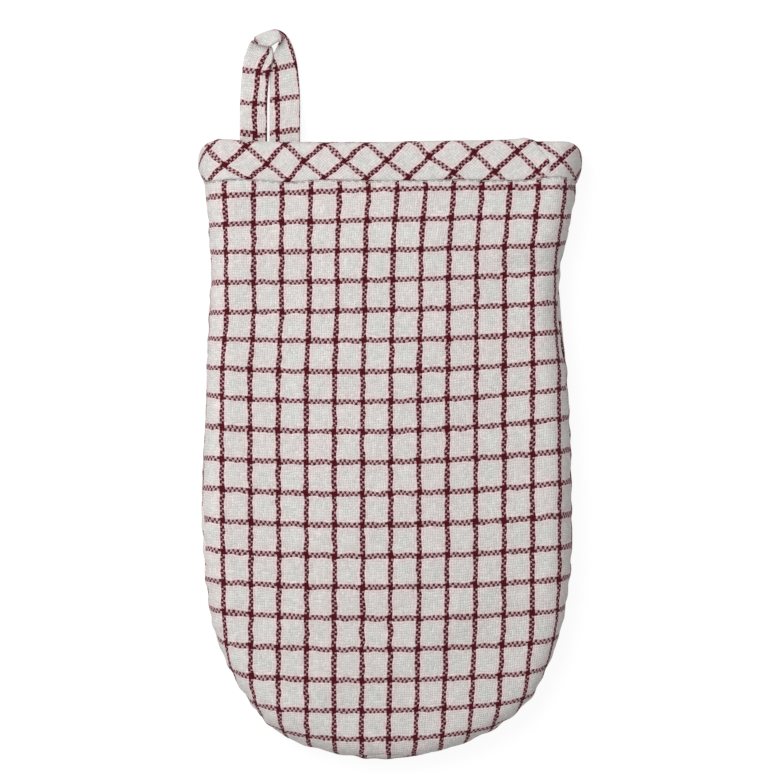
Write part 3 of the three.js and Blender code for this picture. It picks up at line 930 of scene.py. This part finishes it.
def bias_yarns(place, height):
    """Yarn counts at a place round the mitt and a height on the strip."""
    outer, upper_at, upper_height, lower_at, lower_height = np.array(OUTER_ROWS).T
    number, middle = along_row(place, *np.array(MIDDLE_ROW).T)
    upper_number, upper = along_row(place, outer, upper_at, upper_height)
    lower_number, lower = along_row(place, outer, lower_at, lower_height)
    above = np.maximum((height - middle) / (upper - middle), 0)
    below = np.maximum((middle - height) / (middle - lower), 0)
    to_upper = (upper_number - number) * np.minimum(above, 1.2)
    to_lower = (lower_number - number) * np.minimum(below, 1.2)
    number = number + to_upper + to_lower
    count = CHECK_YARNS * number + DYED_YARNS / 2
    across = CHECK_YARNS / 2 * (above - below)
    return np.stack([count - across, count + across], -1)


print("yarns at the first crossing:", bias_yarns(np.array([-65.9]), 89.6).round(2))

# %% Binding
def strip_columns():
    """Lengths back from the join at which the strip has its columns, closer together beside the join."""
    close = np.arange(0, CLOSE_REACH, CLOSE_COLUMN)
    far = np.linspace(CLOSE_REACH, GIRTH - CLOSE_REACH, round(GIRTH / COLUMN))
    return np.concatenate([close, far, GIRTH - close[::-1]])


def face_place(girth, wrapped, row):
    """Place x on the face for a length round the mitt. It fades back to that length round the mitt's back."""
    half = np.where(wrapped < 0, -outline(-1, row)[..., 0], outline(1, row)[..., 0]) - TURN
    share = np.clip(np.minimum(np.abs(wrapped), GIRTH / 2 - np.abs(wrapped)) / FLAT_GIRTH, 0, 1)
    return girth + np.sign(wrapped) * (half - FLAT_GIRTH) * share


def lower_edge(girth, n):
    """How far the strip's lower edge stands above its usual height."""
    return (flap_edge(girth) - FLAP) * ease(2 - np.abs(n), 0, 1)


def make_binding():
    up, depth, length = (column[:, None] for column in binding_section())
    back = strip_columns()[None, :]
    to_join = np.minimum(back, GIRTH - back)
    heights, places = np.array(JOIN_LINE).T
    inside = ease(depth, 0, 3)
    line = np.interp(up, heights, places) * (1 - inside) + places[-1] * inside
    girth = JOIN - back + (line - JOIN) * np.exp(-((to_join / JOIN_REACH) ** 2))
    wrapped = np.where(girth < -GIRTH / 2, girth + GIRTH, girth)
    n = signed_place(wrapped)

    on_face = ease(2 - np.abs(n), 0, 1)
    lower = lower_edge(wrapped, n)
    upper = np.interp(wrapped, *np.array(TOP_EDGE).T) * on_face
    share = np.clip(up / DEPTH, 0, 1)
    uneven = lower * (1 - share) + upper * share
    height = FLAP + up + uneven
    row = row_at(np.minimum(height, MOUTH))
    proud = np.where(depth < 0, depth * (PROUD_ELSEWHERE + (1 - PROUD_ELSEWHERE) * on_face), depth)
    point, outward, _ = skin(n, row, proud)
    point[..., 1] += np.maximum(height - MOUTH, 0)

    shown = np.where(depth < BINDING, 1.0, 0.0) * ease(up, 0.3, 3)
    bulk = np.where(back < GIRTH / 2, *JOIN_BULGE) * np.exp(-((to_join / BULGE_REACH) ** 2))
    bulk = bulk - JOIN_NICK * np.exp(-((to_join / NICK_REACH) ** 2))
    bulk = np.where(to_join > 0, bulk, NICK_BOTTOM)
    soft = STRIP_SWELL * swell(girth, length, waves(31, 7, 12, 34))
    drawn = STRIP_PUCKER * pucker(girth, waves(32, 6, 6, 14)) * np.exp(-np.maximum(up, 0) / STRIP_FADE)
    apart = ease(to_join, 0, 6)
    point = point + outward * (shown * (bulk + (soft + drawn) * apart))[..., None]
    cloth = Cloth()
    cloth.grid(point, bias_yarns(face_place(girth, wrapped, row), FLAP + length + uneven))
    return cloth.build("binding_cloth", [bias_cotton])


binding_cloth = make_binding()

# %% [markdown]
# A row of machine stitches just below the strip's lower edge holds it to the panels. Each stitch is a
# short thread that dives into the cloth at both ends. A painted line would have no dents and no shadow.

# %% Stitches below the binding
STITCH = 2.5  # its length
STITCH_STEP = 3.1
STITCH_DIVE = 0.5  # how deep its ends go into the cloth
STITCH_HEIGHT = 0.05  # how far its middle lies above the cloth
THREAD = 0.2  # radius of the thread
BELOW_EDGE = 0.4


def make_stitches():
    starts = np.arange(-GIRTH / 2, GIRTH / 2 - STITCH, STITCH_STEP)
    part = np.linspace(-1, 1, 9)
    girth = starts[:, None] + STITCH * (part + 1) / 2
    n = signed_place(girth)
    height = FLAP + lower_edge(girth, n) - BELOW_EDGE
    centre, outward, _ = skin(n, row_at(height), STITCH_DIVE * part**6 - STITCH_HEIGHT)
    across = np.cross(unit(np.gradient(centre, axis=1)), outward)
    turn = np.linspace(0, math.tau, 7)[:, None]
    radius = THREAD * np.sqrt(1 - part**8)[:, None, None]
    ring = radius * (across[:, :, None] * np.cos(turn) + outward[:, :, None] * np.sin(turn))
    twist = np.stack(np.broadcast_arrays(part[:, None] * 4, turn.T / math.tau), -1)
    cloth = Cloth()
    for stitch in centre[:, :, None] + ring:
        cloth.grid(stitch, twist)
    return cloth.build("stitches", [thread])


stitches = make_stitches()

# %% [markdown]
# ## The hanging loop
#
# The loop is a tape folded from the same cloth. Its ends are sewn side by side inside the mouth. At the
# top it stands up on one edge, crosses over its own left leg and turns under, as a flat tape does when it
# is bent sideways. A curve with a bevel would twist freely there. The places of the tape's two edges say
# exactly how it turns, so they are the table, and its section is carried along them.

# %% Places of the tape's edges
TAPE = 1.6  # thickness
TAPE_EDGE = 0.7  # how far the tape's rounded edge reaches
LEG = ((86.0, 6.9), (93.0, 6.9), (100.5, 6.8), (107.5, 4.9), (114.0, 2.8))  # place y, height above the floor
LEG_RIGHT = (-48.2, -36.0)  # inner and outer edge
LEG_LEFT = (-60.1, -49.2)
LOOP_TOP = (  # inner edge x, y, z and outer edge x, y, z
    (-48.2, 120, 1.3, -36.2, 120, 1.8),
    (-48.3, 124.8, 1.1, -36.6, 125.4, 2.1),
    (-48.3, 129.4, 1.1, -37.2, 130.6, 2.5),
    (-47.5, 133.2, 1.3, -38.2, 135.4, 2.9),
    (-46, 136.1, 2.3, -39.7, 139.4, 3.1),
    (-44.7, 138.2, 4.2, -41.4, 142, 2.8),
    (-43.9, 139.2, 5.8, -43.4, 143.4, 2.2),
    (-44.5, 139.8, 6.6, -45.6, 144.2, 1.6),
    (-45.9, 139, 6.8, -48, 144, 1.4),
    (-48.2, 137.7, 6.5, -50.6, 143.2, 1.3),
    (-51, 138.2, 6.2, -53.2, 141.9, 1.2),
    (-53.8, 139.1, 6, -54.4, 140.9, 1.1),
    (-55.3, 139.8, 5.4, -52.4, 139.9, 1.1),
    (-56.4, 138.6, 3.8, -48, 138.2, 1.4),
    (-57.3, 136.4, 2.6, -46.8, 135.8, 2.4),
    (-58.5, 132.8, 1.8, -46.9, 132.4, 3),
    (-59.2, 128.2, 1.5, -48, 128.4, 2.9),
    (-59.8, 121, 1.4, -48.8, 121, 2.3),
)
print(f"the tape is {LEG_RIGHT[1] - LEG_RIGHT[0]:.1f} mm wide in its right leg")

# %% Yarn counts on the tape
CROSS_ROWS = (2.30, 4.33, 6.73, 10.5, 16.8, 21.0, 22.83, 24.67)  # rows of edge places where a cross line runs
CROSS_STEP = 12.45  # from cross line to cross line along the tape
CROSS_SLANT = 0.115
LENGTHWISE = (  # row, the line near the inner edge, the line in from the outer edge, the other side's line
    (0, 2.6, -0.3, 4),
    (2.5, 2.6, -0.3, 4),
    (4, 2.3, -0.3, 4),
    (5.2, 2.2, -0.2, 4),
    (6, 2.3, 0.2, 4),
    (7, 2.3, 0.8, 3),
    (7.4, 1.5, 1.1, 2.4),
    (8, -0.3, 1.3, 2),
    (8.6, -1.6, 1.3, 2),
    (11, -1.6, 1.3, 2),
    (12, -1.6, 0.9, 2),
    (13.5, -1.6, -0.5, 2),
    (16.5, -1.6, -0.5, 2),
    (17.5, -1.4, 1.2, -0.8),
    (19, -1, 1.4, 1),
    (20, -0.4, 1.2, 3.3),
    (20.6, 0, -0.2, 3.4),
    (21, 0, -0.6, 3.6),
    (22.4, 0.3, -0.6, 4.2),
    (23.2, 0.6, -0.2, 4.3),
    (27, 0.8, -0.1, 3.8),
)
FLAT_POINTS = 12
EDGE_POINTS = 8


def tape_section(half):
    """Round the tape's section: places across it and through it, for one side, the outer edge, the other side
    and the inner edge. One point of the other side is doubled, because the check doesn't match there."""
    flat = np.linspace(-1, 1, FLAT_POINTS) * (half - TAPE_EDGE)
    bend = np.linspace(-RIGHT_ANGLE, RIGHT_ANGLE, EDGE_POINTS + 1)
    across = half - TAPE_EDGE + TAPE_EDGE * np.cos(bend)
    through_tape = TAPE / 2 * np.sin(bend)
    top = np.full(FLAT_POINTS, TAPE / 2)
    x = np.concatenate([flat, across[-2::-1], flat[-2:-3:-1], flat[-2::-1], -across[1:-1]])
    z = np.concatenate([top, through_tape[-2::-1], -top, through_tape[1:-1]])
    return x, z


def tape_yarns(t, length, x, half, round_length):
    """Yarn counts over the tape's rows t and round its section."""
    rows, first, second, other = np.array(LENGTHWISE).T
    edge_end = FLAT_POINTS + EDGE_POINTS - 1
    rim = round_length[:, edge_end - EDGE_POINTS // 2, None]
    near = np.interp(t, rows, first)[:, None]
    far = rim - np.interp(t, rows, second)[:, None]
    one_side = CHECK_YARNS * (round_length - near) / (far - near)
    start = round_length[:, edge_end, None] + np.interp(t, rows, other)[:, None]
    other_side = (round_length - start) / WARP_YARN
    u = np.where(np.arange(x.shape[1]) <= edge_end + 1, one_side, other_side)
    at = np.interp(CROSS_ROWS, t, length)
    past = np.minimum(length - at[0], 0) + np.maximum(length - at[-1], 0)
    line = np.interp(length, at, np.arange(len(at))) + past / CROSS_STEP
    v = CHECK_YARNS * (line[:, None] - CROSS_SLANT * (x + half[:, None]) / CROSS_STEP)
    return np.stack([u, v], -1) + DYED_YARNS / 2


print("points round the tape's section:", len(tape_section(6.0)[0]))

# %% Hanging loop
def make_loop():
    right, left = ([(edges[0], y, z, edges[1], y, z) for y, z in LEG] for edges in (LEG_RIGHT, LEG_LEFT))
    table = np.array([*right, *LOOP_TOP, *left[::-1]])
    t = np.linspace(0, len(table) - 1, 9 * len(table))
    places = np.stack([through(column, t) for column in table.T], -1)
    inner, outer = places[:, :3], places[:, 3:]
    centre = (inner + outer) / 2
    half = np.linalg.norm(outer - inner, axis=-1) / 2
    outward = unit(outer - inner)
    up = unit(np.cross(outward, np.gradient(centre, axis=0)))
    length = length_along(centre)
    x, z = np.array([tape_section(h) for h in half]).transpose(1, 0, 2)
    point = centre[:, None] + outward[:, None] * x[..., None] + up[:, None] * z[..., None]
    steps = np.hypot(np.diff(x, axis=1), np.diff(z, axis=1))
    round_length = np.concatenate([np.zeros((len(t), 1)), np.cumsum(steps, axis=1)], axis=1)
    yarns = tape_yarns(t, length, x, half, round_length)
    closed = np.concatenate([point, point[:, :1]], axis=1)
    closed_yarns = np.concatenate([yarns, yarns[:, -1:] + [0.5, 0]], axis=1)
    cloth = Cloth()
    cloth.grid(closed[::-1], closed_yarns[::-1])
    for end, turn in ((0, 1), (-1, -1)):
        rim = closed[end][::turn]
        hub = np.broadcast_to(rim[:-1].mean(0), rim.shape)
        cloth.grid(np.stack([hub, rim]), closed_yarns[end])
    print(f"tape length {length[-1]:.0f} mm")
    return cloth.build("loop_cloth", [tape_cotton])


loop_cloth = make_loop()

# %% [markdown]
# ## Joining the pieces to the frame
#
# Each piece rides on the frame's one body and replaces the plain solid that stood for it. The table also
# lists the size to which each cloth was cut and how it lies, which the code below doesn't use.

# %% Pieces on the frame
BOTH_PANELS = ["front_panel_cloth", "back_panel_cloth"]
PIECES = (  # piece, node and finish slot, flat width, flat length, how it is held, and what it rests on
    (front_cloth, "front_panel", "panel_cloth", 0.164, 0.252, 0.0385, "laid", ["back_panel_cloth"]),
    (back_cloth, "back_panel", "panel_cloth", 0.159, 0.250, 0.0375, "laid", []),
    (binding_cloth, "binding", "bias_cloth", 0.328, 0.036, None, "folded", BOTH_PANELS),
    (loop_cloth, "hanging_loop", "loop_cloth", 0.0115, 0.145, None, "folded", ["back_panel_cloth"]),
)
for piece, node, finish, width, length, area, held, rests_on in PIECES:
    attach(piece, "root")
    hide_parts(node)
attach(stitches, "root")
print("pieces:", [row[0].name for row in PIECES])

# %% [markdown]
# ## Floor and light
#
# The picture is a plain product shot: a pale floor and soft light from the upper left. A broad lamp gives
# the direction, a weaker one low on the left brightens that side, and the sky fills the shadows. The floor
# glows, so it stays nearly white, and its glow is kept off the mitt, whose sides would turn pale in it.

# %% Floor and lights
WHITE = (1.0, 1.0, 1.0, 1.0)
FLOOR_SIZE = 3000.0
FLOOR_LEVEL = -0.2
FLOOR_TONE = 0.13
FLOOR_GLOW = 0.89
SKY = 0.51


def make_floor():
    half = FLOOR_SIZE / 2
    x, y = np.meshgrid([-half, half], [half, -half])
    corners = np.stack([x, y, np.full((2, 2), FLOOR_LEVEL)], -1)
    floor = Cloth()
    floor.grid(corners, 0.0)
    material, shader, wire = new_material("pale floor")
    place = wire.node("ShaderNodeNewGeometry").parts()
    cloud = wire.noise(*place, 2.0)
    wire.fill(shader, {"Base Color": (cloud * 0.02 + FLOOR_TONE).shade(WHITE), "Roughness": 0.95})
    wire.fill(shader, {"Emission Color": WHITE, "Emission Strength": FLOOR_GLOW})
    piece = floor.build("floor", [material])
    piece.visible_diffuse = False
    return piece


def area_light(name, place, size, watts):
    data = bpy.data.lights.new(name, "AREA")
    data.size = size
    data.energy = watts
    light = bpy.data.objects.new(name, data)
    light.location = place
    light.rotation_euler = (-light.location).to_track_quat("-Z", "Y").to_euler()
    bpy.context.collection.objects.link(light)


make_floor()
area_light("upper left", (-0.48, 0.48, 1.0), 0.8, 10.2)
area_light("low left", (-1.5, -0.2, 0.6), 1.0, 3.4)
world = bpy.data.worlds.new("sky")
world.use_nodes = True
Wire(world.node_tree).fill(world.node_tree.nodes["Background"], {"Color": WHITE, "Strength": SKY})
bpy.context.scene.world = world
bpy.context.scene.view_settings.view_transform = "Standard"

# %% [markdown]
